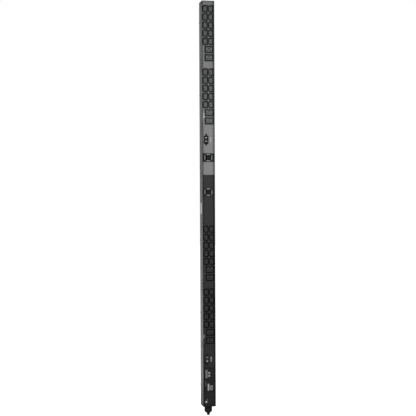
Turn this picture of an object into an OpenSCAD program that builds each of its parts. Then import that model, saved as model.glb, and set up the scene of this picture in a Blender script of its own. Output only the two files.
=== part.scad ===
// Full-height rack power strip: a folded steel channel with recessed face plates,
// four outlet banks, two rocker breakers, two load meters and a network module.
// Front faces -Y, the long axis is Z, and the origin is midway between the mounting pegs.

/* [Body] */
// Width across the side walls of the channel
body_w = 56; // [54:0.1:62]
// Depth from the back wall to the rims of the side walls
body_d = 60; // [58:1:80]
// Thickness of the channel and end cap steel
sheet_t = 1.5; // [1:0.1:1.6]
// Thickness of the face plates
plate_t = 1; // [0.8:0.1:1.2]
// Depth of the face plates below the rims
face_recess = 8; // [5:0.5:9]
// Clearance between pieces that are fitted together
fit_gap = 0.2; // [0.1:0.05:0.25]

/* [Layout along the length] */
// Top end to the first row of outlets
top_margin = 34.7; // [33:0.1:60]
// Pitch of the outlet rows
row_pitch = 35.5; // [35:0.1:42]
// Rows of small outlets in a bank
c13_rows = 5; // [2:1:6]
// Rows of large outlets in a bank
c19_rows = 2; // [1:1:3]
// Last row of one bank to the first row of the next
bank_gap = 63.3; // [62:0.1:90]
// Last row of a bank to the breaker below it
breaker_gap = 83; // [74:0.5:120]
// Upper breaker to the upper load meter
meter_gap = 78; // [66:0.5:120]
// Load meter to the seam between the light and the dark plates
seam_gap = 75.5; // [50:0.5:110]
// Lower load meter to the third bank
blank_l = 162.9; // [130:0.1:240]
// Lower breaker to the top of the network module
panel_gap = 34.3; // [34:0.1:60]
// Bottom of the network module to the bottom end
panel_tail = 62.5; // [60:0.1:90]

/* [Outlets] */
// Pitch of the two columns of small outlets
column_pitch = 24.5; // [24.5:0.1:25]
// Small outlet socket across X
c13_open_w = 21.4; // [20.8:0.1:21.6]
// Small outlet socket along Z
c13_open_h = 29; // [28.4:0.1:29.4]
// Bevel of the two socket corners on the earth side
c13_bevel = 6.4; // [5:0.1:6.8]
// Large outlet socket across X
c19_open_w = 35.2; // [34.6:0.1:36]
// Large outlet socket along Z
c19_open_h = 26.4; // [26:0.1:27]
// Offset of the large outlets to the right
c19_x = 5.35; // [5:0.05:5.5]
// Width of the groove around a socket's core
groove_w = 3.4; // [2.4:0.1:3.6]
// Depth of that groove
groove_d = 16; // [14:0.5:18]
// Wall around a socket
socket_wall = 0.9; // [0.7:0.05:0.95]
// Flange overlap beyond the socket wall along Z
flange_lip = 1.8; // [1:0.1:2]
// Height of an outlet flange above the plate
flange_t = 1; // [0.8:0.1:1.6]
// Thickness of the outlet base behind the groove
base_t = 8; // [6:0.5:10]

/* [Busbars] */
// Thickness of the copper strips
strip_t = 1.2; // [0.8:0.1:1.6]
// Width of the rails along the length
rail_w = 5; // [3:0.5:5]
// Depth from one strip layer to the next
layer_step = 4; // [3:0.25:4.5]
// Thickness of one contact leaf
leaf_t = 0.6; // [0.4:0.05:0.7]

/* [Breakers] */
// Distance of the breakers to the left of the middle
breaker_x = 9; // [7.5:0.1:10.5]
// Collar across X
collar_w = 19; // [18:0.1:20]
// Collar along Z
collar_h = 36; // [35.6:0.1:38]
// Collar height above the plate
collar_t = 2; // [1:0.1:2.6]
// Width of a rocker
rocker_w = 14.4; // [13:0.1:14.6]
// Swing radius of a rocker's ends
rocker_r = 15.4; // [14.5:0.1:15.5]
// Tilt of a rocker to either side of its middle
rocker_tilt = 12; // [8:0.5:13]
// Radius of the rocker's pivot pins
pivot_r = 1.5; // [1.2:0.1:1.8]
// Radial clearance of the pivot pins
pivot_gap = 0.05; // [0.03:0.01:0.08]
// Distance of each breaker screw from the middle of its breaker
breaker_screw_z = 22.4; // [22.2:0.1:24]

/* [Load meters] */
// Meter frame across X
meter_w = 49.5; // [48:0.1:50]
// Meter frame along Z
meter_h = 38; // [37:0.1:40]
// Meter window across X
window_w = 22; // [20:0.1:24]
// Meter window along Z
window_h = 21; // [19:0.1:22]
// Raised ring across X
ring_w = 38; // [36:0.1:39]
// Raised ring along Z
ring_h = 34; // [33:0.1:34.5]

/* [Controls] */
// Network module frame across X
panel_w = 46; // [44:0.1:47]
// Network module frame along Z
panel_h = 110; // [100:0.1:140]
// Travel of the scroll buttons
button_travel = 1; // [0.6:0.1:1.2]
// Ground screw to the bottom end
ground_z = 19.4; // [18:0.1:30]

/* [Mounting] */
// Distance between the mounting pegs
peg_spacing = 1556; // [1500:1:1600]
// Radius of a peg's head
peg_head_r = 7; // [6:0.1:8]
// Thickness of a peg's head
peg_head_t = 3; // [2:0.1:4]
// Radius of a peg's neck
peg_neck_r = 4; // [3.6:0.1:5]
// Gap between the back wall and a peg's head
peg_neck_l = 3.2; // [2:0.1:5]
// Thread radius of a peg
peg_thread_r = 3; // [2.5:0.1:3]

/* [Cable gland] */
// Distance of the gland from the back wall
gland_back = 30; // [20:0.5:32]
// Radius of the gland nut
gland_r = 17.2; // [16.6:0.1:18]
// Distance of the gland nut's flats from its axis
gland_flat = 16.2; // [15.2:0.1:16.6]
// Radius of the gland thread
gland_thread_r = 12.5; // [11:0.1:13]
// Radius of the cord bore
cord_r = 5.3; // [4:0.1:6]
// Length of the gland below the bottom plate
gland_l = 42; // [40:0.5:52]

/* [Hidden] */
$fn = 64;
eps = 0.01;

// Colours
light_grey = [0.50, 0.50, 0.51];
charcoal = [0.20, 0.20, 0.21];
black = [0.09, 0.09, 0.10];
upper_socket = [0.27, 0.27, 0.28];
lower_socket = [0.16, 0.16, 0.17];
steel = [0.72, 0.73, 0.74];
copper = [0.78, 0.48, 0.30];
board_green = [0.10, 0.34, 0.20];

// Places along the length
bank_span = (c13_rows + c19_rows - 1) * row_pitch;
body_l = top_margin + 4 * bank_span + 2 * bank_gap + 2 * breaker_gap + meter_gap
  + 2 * seam_gap + blank_l + panel_gap + panel_h + panel_tail;
top_z = body_l / 2;
bottom_z = -body_l / 2;
bank_1_z = top_z - top_margin;
bank_2_z = bank_1_z - bank_span - bank_gap;
upper_breaker_z = bank_2_z - bank_span - breaker_gap;
upper_meter_z = upper_breaker_z - meter_gap;
seam_z = upper_meter_z - seam_gap;
lower_meter_z = seam_z - seam_gap;
bank_3_z = lower_meter_z - blank_l;
bank_4_z = bank_3_z - bank_span - bank_gap;
lower_breaker_z = bank_4_z - bank_span - breaker_gap;
panel_z = bottom_z + panel_tail + panel_h / 2;

// Face plate ends, from the top down: each bank plate reaches half a row past its end rows
bank_edge = row_pitch / 2;
plate_ends = [
  top_z - sheet_t,
  bank_1_z + bank_edge,
  bank_1_z - bank_span - bank_edge,
  bank_2_z + bank_edge,
  bank_2_z - bank_span - bank_edge,
  seam_z,
  bank_3_z + bank_edge,
  bank_3_z - bank_span - bank_edge,
  bank_4_z + bank_edge,
  bank_4_z - bank_span - bank_edge,
  bottom_z + sheet_t
];

// Places through the depth
back_y = -peg_neck_l;
inner_y = back_y - sheet_t;
rim_y = back_y - body_d;
face_y = rim_y + face_recess;
inner_x = body_w / 2 - sheet_t;
behind_y = face_y + plate_t;

// Folded tabs and their screws
tab_l = 10;
tab_d = 12;
tab_screw_in = 7;
cap_tab_w = 14;
cap_tab_y = inner_y - 20;
cap_tab_d = 12;
screw_r = 1.45;
screw_hole_r = 1.5;
screw_head_r = 2.8;
screw_head_t = 1.6;
screw_tail = 0.2;
screw_l = sheet_t + fit_gap + plate_t + screw_tail;
head_edge = 0.6;
head_top = 0.7;
cross_w = 0.7;
cross_d = 0.9;
cross_reach = 0.6;
plate_screw_y = face_y + 7;
flange_d = 12;
wall_screw_y = back_y - flange_d / 2 - 1;
wall_screw_in = 90;
wall_screw_count = 6;
cut = 1;

// Outlet sizes that follow from the sockets
c13_core_w = c13_open_w - 2 * groove_w;
c13_core_h = c13_open_h - 2 * groove_w;
c19_core_w = c19_open_w - 2 * groove_w;
c19_core_h = c19_open_h - 2 * groove_w;
flange_side = 0.4;
outlet_back = groove_d + base_t;
c13_pin_x = 2;
c13_pin_z = 7;
c13_earth_x = -2;
c19_pin_x = 6.5;
c19_pin_z = -4;
c19_earth_z = 4;
slot_w = 2.5;
c13_slot_l = 4.6;
c19_slot_l = 8.6;
slot_front = 3;
leaf_gap = 2;
chamber_gap = 0.3;
c13_leaf_l = 5;
c19_leaf_l = 9;
leaf_depth = 6;
tower_wall = 0.8;
seat_gap = 0.1;
core_bevel = 0.6;

// Extrudes a shape drawn in X and Z from depth y0 back to depth y1
module slab(y0, y1) {
  translate([0, y1, 0])
    rotate([90, 0, 0])
      linear_extrude(height = y1 - y0)
        children();
}

// A cylinder along X between x0 and x1
module rod_x(r, x0, x1) {
  translate([x0, 0, 0])
    rotate([0, 90, 0])
      cylinder(r = r, h = x1 - x0);
}

// A cylinder along Y between y0 and y1
module rod_y(r, y0, y1) {
  translate([0, y1, 0])
    rotate([90, 0, 0])
      cylinder(r = r, h = y1 - y0);
}

// A block given by its middle in X and Z and its two depths
module block(x, z, w, h, y0, y1) {
  translate([x - w / 2, y0, z - h / 2])
    cube([w, y1 - y0, h]);
}

// Rows, columns and plate screws
function row_z(first, row) = first - row * row_pitch;
function c19_row_z(first, row) = first - (c13_rows + row) * row_pitch;
function plate_tabs(i) = plate_ends[i] - plate_ends[i + 1] < 2 * tab_screw_in + tab_l
  ? [(plate_ends[i] + plate_ends[i + 1]) / 2]
  : [plate_ends[i] - tab_screw_in, plate_ends[i + 1] + tab_screw_in];
function tab_places() = [for (i = [0 : len(plate_ends) - 2]) for (z = plate_tabs(i)) z];
function cap_tab_places() = [top_z - sheet_t - tab_screw_in, bottom_z + sheet_t + tab_screw_in];

function wall_screw_places() = [for (i = [0 : wall_screw_count - 1])
  bottom_z + wall_screw_in + i * (body_l - 2 * wall_screw_in) / (wall_screw_count - 1)];

// Holes along X through both sides
module side_holes(r, places, y) {
  for (z = places)
    translate([0, y, z])
      rod_x(r, -body_w, body_w);
}

// The back wall and its two flanges, which are screwed between the side walls
module rear_channel() {
  half = inner_x - fit_gap;
  color(black)
    difference() {
      translate([-half, back_y - flange_d, bottom_z + sheet_t])
        cube([2 * half, flange_d, body_l - 2 * sheet_t]);
      translate([-half + sheet_t, back_y - flange_d - cut, bottom_z])
        cube([2 * (half - sheet_t), flange_d - sheet_t + cut, body_l]);
      side_holes(screw_hole_r, wall_screw_places(), wall_screw_y);
      for (z = [-peg_spacing / 2, peg_spacing / 2])
        translate([0, 0, z])
          rod_y(peg_thread_r + fit_gap, inner_y - cut, back_y + cut);
    }
}

module side_walls() {
  color(black)
    difference() {
      for (x = [-body_w / 2, inner_x])
        translate([x, rim_y, bottom_z + sheet_t])
          cube([sheet_t, body_d, body_l - 2 * sheet_t]);
      side_holes(screw_r + fit_gap, tab_places(), plate_screw_y);
      side_holes(screw_r + fit_gap, cap_tab_places(), cap_tab_y);
      side_holes(screw_r + fit_gap, wall_screw_places(), wall_screw_y);
    }
}

// End caps
module end_cap(side) {
  outer_z = side > 0 ? top_z - sheet_t : bottom_z;
  tab_z = side > 0 ? top_z - sheet_t - cap_tab_w : bottom_z + sheet_t - eps;
  tab_x = inner_x - fit_gap;
  difference() {
    union() {
      translate([-body_w / 2, rim_y, outer_z])
        cube([body_w, body_d, sheet_t]);
      for (x = [-tab_x, tab_x - sheet_t])
        translate([x, cap_tab_y - cap_tab_d / 2, tab_z])
          cube([sheet_t, cap_tab_d, cap_tab_w + eps]);
    }
    translate([0, cap_tab_y, side > 0 ? cap_tab_places()[0] : cap_tab_places()[1]])
      rod_x(screw_hole_r, -body_w, body_w);
  }
}

module top_end_cap() {
  color(black)
    end_cap(1);
}

module bottom_end_cap() {
  color(black)
    difference() {
      end_cap(-1);
      translate([0, back_y - gland_back, bottom_z - cut])
        cylinder(r = gland_thread_r + fit_gap, h = sheet_t + 2 * cut);
    }
}

// Face plates
module face_plate(index) {
  z1 = plate_ends[index] - fit_gap / 2;
  z0 = plate_ends[index + 1] + fit_gap / 2;
  half = inner_x - fit_gap;
  difference() {
    union() {
      translate([-half, face_y, z0])
        cube([2 * half, plate_t, z1 - z0]);
      for (z = plate_tabs(index))
        for (s = [-1, 1])
          translate([s > 0 ? half - plate_t : -half, face_y, z - tab_l / 2])
            cube([plate_t, tab_d, tab_l]);
    }
    for (z = plate_tabs(index))
      translate([0, plate_screw_y, z])
        rod_x(screw_hole_r, -body_w, body_w);
    children();
  }
}

module c13_shape(w, h, bevel) {
  polygon([
    [-w / 2 + bevel, h / 2], [w / 2, h / 2], [w / 2, -h / 2],
    [-w / 2 + bevel, -h / 2], [-w / 2, -h / 2 + bevel], [-w / 2, h / 2 - bevel]
  ]);
}

module c19_shape(w, h) {
  square([w, h], center = true);
}

module bank_cutouts(first) {
  grow = 2 * (socket_wall + fit_gap);
  for (row = [0 : c13_rows - 1])
    for (side = [-1, 1])
      translate([side * column_pitch / 2, 0, row_z(first, row)])
        slab(face_y - 1, behind_y + 1)
          c13_shape(c13_open_w + grow, c13_open_h + grow, c13_bevel);
  for (row = [0 : c19_rows - 1])
    translate([c19_x, 0, c19_row_z(first, row)])
      slab(face_y - 1, behind_y + 1)
        c19_shape(c19_open_w + grow, c19_open_h + grow);
}

module bank_plate(index, first, tint) {
  color(tint)
    face_plate(index)
      bank_cutouts(first);
}

module filler_plate(index, tint) {
  color(tint)
    face_plate(index);
}

module top_filler_plate() { filler_plate(0, light_grey); }
module bank_1_plate() { bank_plate(1, bank_1_z, upper_socket); }
module upper_filler_plate() { filler_plate(2, light_grey); }
module bank_2_plate() { bank_plate(3, bank_2_z, upper_socket); }
module bank_3_plate() { bank_plate(6, bank_3_z, lower_socket); }
module lower_filler_plate() { filler_plate(7, charcoal); }
module bank_4_plate() { bank_plate(8, bank_4_z, lower_socket); }

// Blank label plates beside the large outlets
label_t = 0.8;
label_margin = 0.8;

module bank_label_plates() {
  right = c19_x - c19_open_w / 2 - socket_wall - flange_side - label_margin;
  left = -inner_x + fit_gap + label_margin;
  height = c19_rows * row_pitch - 2 * label_margin;
  for (first = [bank_1_z, bank_2_z, bank_3_z, bank_4_z])
    color(first > 0 ? upper_socket : lower_socket)
      translate([left, face_y - label_t, c19_row_z(first, c19_rows - 0.5) + label_margin])
        cube([right - left, label_t, height]);
}

module breaker_cutout(z) {
  block(-breaker_x, z, collar_w + 2 * fit_gap, collar_h + 2 * fit_gap, face_y - 1, behind_y + 1);
  for (s = [-1, 1])
    translate([-breaker_x, 0, z + s * breaker_screw_z])
      rod_y(screw_hole_r, face_y - 1, behind_y + 1);
}

case_lip = 1;
case_w = ring_w + 2 * case_lip;
case_h = ring_h;

module meter_cutout(z) {
  block(0, z, case_w + 2 * fit_gap, case_h + 2 * fit_gap, face_y - 1, behind_y + 1);
}

module upper_meter_plate() {
  color(light_grey)
    face_plate(4) {
      breaker_cutout(upper_breaker_z);
      meter_cutout(upper_meter_z);
    }
}

module lower_meter_plate() {
  color(charcoal)
    face_plate(5)
      meter_cutout(lower_meter_z);
}

panel_rim_x = 2;
panel_rim_z = 4;
panel_box_w = panel_w - 2 * panel_rim_x;
panel_box_h = panel_h - 2 * panel_rim_z;
ground_x = -13.2;
ground_r = 2;
ground_head_r = 4.3;
ground_head_t = 2.4;
ground_l = 8;

module control_plate() {
  color(charcoal)
    face_plate(9) {
      breaker_cutout(lower_breaker_z);
      block(0, panel_z, panel_box_w + 2 * fit_gap, panel_box_h + 2 * fit_gap, face_y - 1, behind_y + 1);
      translate([ground_x, 0, bottom_z + ground_z])
        rod_y(ground_r + fit_gap, face_y - 1, behind_y + 1);
    }
}

// Screws and pegs
// A pan head screw along Z with a cross recess: the head stands above z = 0, the shank goes down
module pan_screw(head_r, head_t, shank_r, length) {
  difference() {
    union() {
      cylinder(r = head_r, h = head_edge * head_t);
      translate([0, 0, head_edge * head_t - eps])
        cylinder(r1 = head_r, r2 = head_top * head_r, h = (1 - head_edge) * head_t + eps);
      translate([0, 0, -length])
        cylinder(r = shank_r, h = length + eps);
    }
    for (turn = [0, 90])
      rotate([0, 0, turn])
        translate([-cross_reach * head_r, -cross_w / 2, head_t - cross_d])
          cube([2 * cross_reach * head_r, cross_w, cross_d + cut]);
  }
}

module screw_pairs(places, y) {
  for (z = places)
    for (side = [-1, 1])
      translate([side * body_w / 2, y, z])
        rotate([0, side * 90, 0])
          pan_screw(screw_head_r, screw_head_t, screw_r, screw_l);
}

module case_screws() {
  color(black) {
    screw_pairs(tab_places(), plate_screw_y);
    screw_pairs(cap_tab_places(), cap_tab_y);
    screw_pairs(wall_screw_places(), wall_screw_y);
  }
}

peg_nut_t = 4.5;
peg_nut_flats = 10;
peg_tail = 1;
thread_gap = 0.05;

module mounting_pegs() {
  color(steel)
    for (z = [-peg_spacing / 2, peg_spacing / 2])
      translate([0, 0, z]) {
        rod_y(peg_head_r, 0, peg_head_t);
        rod_y(peg_neck_r, back_y, eps);
        rod_y(peg_thread_r, inner_y - peg_nut_t - peg_tail, back_y + eps);
      }
}

module peg_nuts() {
  color(steel)
    for (z = [-peg_spacing / 2, peg_spacing / 2])
      translate([0, 0, z])
        difference() {
          translate([0, inner_y, 0])
            rotate([90, 0, 0])
              cylinder(r = peg_nut_flats / 2 / cos(30), h = peg_nut_t, $fn = 6);
          rod_y(peg_thread_r + thread_gap, inner_y - peg_nut_t - cut, inner_y + cut);
        }
}

// Outlets, drawn with the plate's front at y = 0
module contact_hole(x, z, slot_l, leaf_l, back) {
  chamber_h = leaf_gap + 2 * leaf_t + 2 * chamber_gap;
  block(x, z, slot_l, slot_w, -flange_t - 1, slot_front + eps);
  block(x, z, leaf_l + 2 * chamber_gap, chamber_h, slot_front, back + 1);
}

module contact_tower(x, z, leaf_l, height) {
  chamber_h = leaf_gap + 2 * leaf_t + 2 * chamber_gap;
  block(x, z, leaf_l + 2 * (chamber_gap + tower_wall), chamber_h + 2 * tower_wall,
    outlet_back - eps, outlet_back + height);
}

// An outlet is a socket frame, a core inside it and, behind both, a base that carries the contacts
module c13_frame() {
  difference() {
    union() {
      slab(-flange_t, 0)
        c13_shape(c13_open_w + 2 * (socket_wall + flange_side),
          c13_open_h + 2 * (socket_wall + flange_lip), c13_bevel + flange_lip / 2);
      slab(-eps, groove_d)
        c13_shape(c13_open_w + 2 * socket_wall, c13_open_h + 2 * socket_wall, c13_bevel);
    }
    slab(-flange_t - 1, groove_d + 1)
      c13_shape(c13_open_w, c13_open_h, c13_bevel);
  }
}

module c13_contact_holes() {
  contact_hole(c13_pin_x, c13_pin_z, c13_slot_l, c13_leaf_l, outlet_back + layer_step);
  contact_hole(c13_pin_x, -c13_pin_z, c13_slot_l, c13_leaf_l, outlet_back + 2 * layer_step);
  contact_hole(c13_earth_x, 0, c13_slot_l, c13_leaf_l, outlet_back);
}

module c13_carrier() {
  difference() {
    slab(-flange_t, groove_d)
      c13_shape(c13_core_w, c13_core_h, c13_bevel - core_bevel * groove_w);
    c13_contact_holes();
  }
  difference() {
    union() {
      slab(groove_d + seat_gap, outlet_back)
        c13_shape(c13_open_w + 2 * socket_wall, c13_open_h + 2 * socket_wall, c13_bevel);
      contact_tower(c13_pin_x, c13_pin_z, c13_leaf_l, layer_step);
      contact_tower(c13_pin_x, -c13_pin_z, c13_leaf_l, 2 * layer_step);
    }
    c13_contact_holes();
  }
}

module c19_frame() {
  difference() {
    union() {
      slab(-flange_t, 0)
        c19_shape(c19_open_w + 2 * (socket_wall + flange_side),
          c19_open_h + 2 * (socket_wall + flange_lip));
      slab(-eps, groove_d)
        c19_shape(c19_open_w + 2 * socket_wall, c19_open_h + 2 * socket_wall);
    }
    slab(-flange_t - 1, groove_d + 1)
      c19_shape(c19_open_w, c19_open_h);
  }
}

module c19_contact_holes() {
  contact_hole(-c19_pin_x, c19_pin_z, c19_slot_l, c19_leaf_l, outlet_back + layer_step);
  contact_hole(c19_pin_x, c19_pin_z, c19_slot_l, c19_leaf_l, outlet_back + 2 * layer_step);
  contact_hole(0, c19_earth_z, c19_slot_l, c19_leaf_l, outlet_back);
}

module c19_carrier() {
  difference() {
    slab(-flange_t, groove_d)
      c19_shape(c19_core_w, c19_core_h);
    c19_contact_holes();
  }
  difference() {
    union() {
      slab(groove_d + seat_gap, outlet_back)
        c19_shape(c19_open_w + 2 * socket_wall, c19_open_h + 2 * socket_wall);
      contact_tower(-c19_pin_x, c19_pin_z, c19_leaf_l, layer_step);
      contact_tower(c19_pin_x, c19_pin_z, c19_leaf_l, 2 * layer_step);
    }
    c19_contact_holes();
  }
}

module socket_frames(first, tint) {
  color(tint) {
    for (row = [0 : c13_rows - 1])
      for (side = [-1, 1])
        translate([side * column_pitch / 2, face_y, row_z(first, row)])
          c13_frame();
    for (row = [0 : c19_rows - 1])
      translate([c19_x, face_y, c19_row_z(first, row)])
        c19_frame();
  }
}

module contact_carriers(first, tint) {
  color(tint) {
    for (row = [0 : c13_rows - 1])
      for (side = [-1, 1])
        translate([side * column_pitch / 2, face_y, row_z(first, row)])
          c13_carrier();
    for (row = [0 : c19_rows - 1])
      translate([c19_x, face_y, c19_row_z(first, row)])
        c19_carrier();
  }
}

module bank_1_socket_frames() { socket_frames(bank_1_z, upper_socket); }
module bank_1_contact_carriers() { contact_carriers(bank_1_z, upper_socket); }
module bank_2_socket_frames() { socket_frames(bank_2_z, upper_socket); }
module bank_2_contact_carriers() { contact_carriers(bank_2_z, upper_socket); }
module bank_3_socket_frames() { socket_frames(bank_3_z, lower_socket); }
module bank_3_contact_carriers() { contact_carriers(bank_3_z, lower_socket); }
module bank_4_socket_frames() { socket_frames(bank_4_z, lower_socket); }
module bank_4_contact_carriers() { contact_carriers(bank_4_z, lower_socket); }

// Busbars: a rail along one edge, an arm to each contact and a pair of leaves on each arm
strip_y = face_y + outlet_back;
rail_margin = 0.8;
rail_x = inner_x - fit_gap - rail_margin - rail_w / 2;
line_arm_z = 0.7;
arm_w = 3.2;

// Two leaves reaching forward from a strip into a socket's chamber
module leaves(x, z, leaf_l, y) {
  front = face_y + slot_front + leaf_depth;
  for (s = [-1, 1])
    block(x, z + s * (leaf_gap + leaf_t) / 2, leaf_l, leaf_t, front, y + strip_t);
}

// An arm at height z from the rail to x
module arm(side, x, z, y) {
  x0 = min(side * rail_x, x);
  x1 = max(side * rail_x, x);
  translate([x0, y, z - arm_w / 2])
    cube([x1 - x0, strip_t, arm_w]);
}

module rail(side, top, bottom, y) {
  translate([side * rail_x - rail_w / 2, y, bottom])
    cube([rail_w, strip_t, top - bottom]);
}

// The farthest small contact from a rail on the given side
function far_x(side, pin_x) = -side * column_pitch / 2 + pin_x - side * c13_leaf_l / 2;

module busbar(first_rows, side, layer, c13_x, c13_z, c19_at_x, c19_at_z, c19_arm_z) {
  y = strip_y + layer * layer_step;
  last = first_rows[len(first_rows) - 1] - bank_span;
  color(copper) {
    rail(side, first_rows[0] + row_pitch / 2, last - row_pitch / 2, y);
    for (first = first_rows) {
      for (row = [0 : c13_rows - 1]) {
        arm(side, far_x(side, c13_x), row_z(first, row) + c13_z, y);
        for (s = [-1, 1])
          leaves(s * column_pitch / 2 + c13_x, row_z(first, row) + c13_z, c13_leaf_l, y);
      }
      for (row = [0 : c19_rows - 1]) {
        z = c19_row_z(first, row);
        arm(side, c19_x + c19_at_x - side * c19_leaf_l / 2, z + c19_arm_z, y);
        block(c19_x + c19_at_x, z + (c19_arm_z + c19_at_z) / 2, c19_leaf_l,
          abs(c19_arm_z - c19_at_z) + arm_w, y, y + strip_t);
        leaves(c19_x + c19_at_x, z + c19_at_z, c19_leaf_l, y);
      }
    }
  }
}

module line_busbar(rows) {
  busbar(rows, 1, 1, c13_pin_x, c13_pin_z, -c19_pin_x, c19_pin_z, line_arm_z);
}

module neutral_busbar(rows) {
  busbar(rows, -1, 2, c13_pin_x, -c13_pin_z, c19_pin_x, c19_pin_z, c19_pin_z);
}

module earth_busbar(rows) {
  busbar(rows, -1, 0, c13_earth_x, 0, 0, c19_earth_z, c19_earth_z);
}

upper_rows = [bank_1_z, bank_2_z];
lower_rows = [bank_3_z, bank_4_z];

module upper_line_busbar() { line_busbar(upper_rows); }
module upper_neutral_busbar() { neutral_busbar(upper_rows); }
module upper_earth_busbar() { earth_busbar(upper_rows); }
module lower_line_busbar() { line_busbar(lower_rows); }
module lower_neutral_busbar() { neutral_busbar(lower_rows); }
module lower_earth_busbar() { earth_busbar(lower_rows); }

// Breakers, drawn with the plate's front at y = 0 and the middle of the rocker at z = 0
ear_t = 1.2;
ear_w = 6.4;
ear_end = 3.2;
ear_root = 12;
ear_flare = 2.4;
breaker_depth = 26;
rocker_gap = 0.3;
swing_gap = 0.25;
pivot_y = 3.4;
pin_l = 1.6;
valley_y = 3.2;
crest_y = 6.6;
rocker_skirt = 8;
breaker_screw_l = 4;

// A tab above and below the rocker takes a screw each
module breaker_ears() {
  root = collar_h / 2;
  neck = root + ear_flare;
  tip = breaker_screw_z + ear_end;
  polygon([
    [-ear_root / 2, root], [-ear_w / 2, neck], [-ear_w / 2, tip],
    [ear_w / 2, tip], [ear_w / 2, neck], [ear_root / 2, root],
    [ear_root / 2, -root], [ear_w / 2, -neck], [ear_w / 2, -tip],
    [-ear_w / 2, -tip], [-ear_w / 2, -neck], [-ear_root / 2, -root]
  ]);
}

module breaker_body(z) {
  cavity_w = rocker_w + 2 * rocker_gap;
  cavity_r = rocker_r + swing_gap;
  pin_reach = rocker_w / 2 + pin_l + rocker_gap;
  color(black)
    translate([-breaker_x, face_y, z])
      difference() {
        union() {
          block(0, 0, collar_w, collar_h, -collar_t, breaker_depth);
          slab(-ear_t, 0)
            breaker_ears();
        }
        translate([0, pivot_y, 0])
          rod_x(cavity_r, -cavity_w / 2, cavity_w / 2);
        block(0, 0, cavity_w, 2 * cavity_r, -collar_t - 1, pivot_y);
        translate([0, pivot_y, 0])
          rod_x(pivot_r + pivot_gap, -pin_reach, pin_reach);
        for (s = [-1, 1])
          translate([0, 0, s * breaker_screw_z])
            rod_y(screw_r + fit_gap, -ear_t - cut, cut);
      }
}

// The rocker at rest: upper half pressed in
module breaker_rocker(z) {
  color(charcoal)
    translate([-breaker_x, face_y + pivot_y, z])
      rotate([-rocker_tilt, 0, 0]) {
        intersection() {
          rod_x(rocker_r, -rocker_w / 2, rocker_w / 2);
          translate([-rocker_w / 2, 0, 0])
            rotate([90, 0, 90])
              linear_extrude(height = rocker_w)
                polygon([
                  [-valley_y, 0], [-crest_y, rocker_r], [rocker_skirt, rocker_r / 2],
                  [rocker_skirt, -rocker_r / 2], [-crest_y, -rocker_r]
                ]);
        }
        rod_x(pivot_r, -rocker_w / 2 - pin_l, rocker_w / 2 + pin_l);
      }
}

module upper_breaker_body() { breaker_body(upper_breaker_z); }
module upper_breaker_rocker() { breaker_rocker(upper_breaker_z); }
module lower_breaker_body() { breaker_body(lower_breaker_z); }
module lower_breaker_rocker() { breaker_rocker(lower_breaker_z); }

module breaker_screws() {
  color(black)
    for (z = [upper_breaker_z, lower_breaker_z])
      for (s = [-1, 1])
        translate([-breaker_x, face_y - ear_t, z + s * breaker_screw_z])
          rotate([90, 0, 0])
            pan_screw(screw_head_r, screw_head_t, screw_r, ear_t + breaker_screw_l);
}

// Load meters, drawn with the plate's front at y = 0
meter_t = 2.4;
ring_t = 2.2;
ring_bevel = 8;
ring_step = 1;
meter_depth = 16;
case_wall = 1.6;
lens_t = 2;
lens_lip = 1.5;
display_t = 5;
meter_board_t = 1.6;

module ring_shape(w, h, bevel) {
  polygon([
    [-w / 2 + bevel, h / 2], [w / 2 - bevel, h / 2], [w / 2, h / 2 - bevel], [w / 2, -h / 2 + bevel],
    [w / 2 - bevel, -h / 2], [-w / 2 + bevel, -h / 2], [-w / 2, -h / 2 + bevel], [-w / 2, h / 2 - bevel]
  ]);
}

module meter_case(z) {
  lens_w = window_w + 2 * (lens_lip + fit_gap);
  lens_h = window_h + 2 * (lens_lip + fit_gap);
  color(black)
    translate([0, face_y, z])
      difference() {
        union() {
          block(0, 0, meter_w, meter_h, -meter_t, 0);
          block(0, 0, case_w, case_h, -eps, meter_depth);
        }
        block(0, 0, window_w, window_h, -meter_t - 1, 1);
        block(0, 0, lens_w, lens_h, -meter_t + 1, lens_t - meter_t + 1 + eps);
        block(0, 0, case_w - 2 * case_wall, case_h - 2 * case_wall, lens_t - meter_t + 1, meter_depth + 1);
      }
}

module meter_ring(z) {
  color(charcoal)
    translate([0, face_y, z])
      slab(-meter_t - ring_t, -meter_t)
        difference() {
          ring_shape(ring_w, ring_h, ring_bevel);
          square([window_w + 2 * ring_step, window_h + 2 * ring_step], center = true);
        }
}

module meter_window(z) {
  color(black)
    translate([0, face_y, z])
      block(0, 0, window_w + 2 * lens_lip, window_h + 2 * lens_lip, -meter_t + 1, lens_t - meter_t + 1);
}

module meter_board(z) {
  color(board_green)
    translate([0, face_y, z]) {
      block(0, 0, window_w, window_h, lens_t - meter_t + 1, lens_t - meter_t + 1 + display_t + eps);
      block(0, 0, case_w - 2 * (case_wall + fit_gap), case_h - 2 * (case_wall + fit_gap),
        lens_t - meter_t + 1 + display_t, lens_t - meter_t + 1 + display_t + meter_board_t);
    }
}

module upper_meter_case() { meter_case(upper_meter_z); }
module upper_meter_ring() { meter_ring(upper_meter_z); }
module upper_meter_window() { meter_window(upper_meter_z); }
module upper_meter_board() { meter_board(upper_meter_z); }
module lower_meter_case() { meter_case(lower_meter_z); }
module lower_meter_ring() { meter_ring(lower_meter_z); }
module lower_meter_window() { meter_window(lower_meter_z); }
module lower_meter_board() { meter_board(lower_meter_z); }

// Feed wiring on the back wall
lead_r = 2.4;
lead_gap = 0.1;
lead_xs = [-13, 9, 14.5];
transformer_wall = 1.5;
lead_y = inner_y - lead_r - lead_gap - transformer_wall;
transformer_r = 9;
transformer_t = 10;
block_h = 34;
block_w = 44;
block_d = 18;
block_clear = 18.5;
clamp_r = 3;
clamp_d = 6;
gland_thread_l = 9;
block_z = bottom_z + sheet_t + gland_thread_l + block_clear + block_h / 2;

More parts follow.
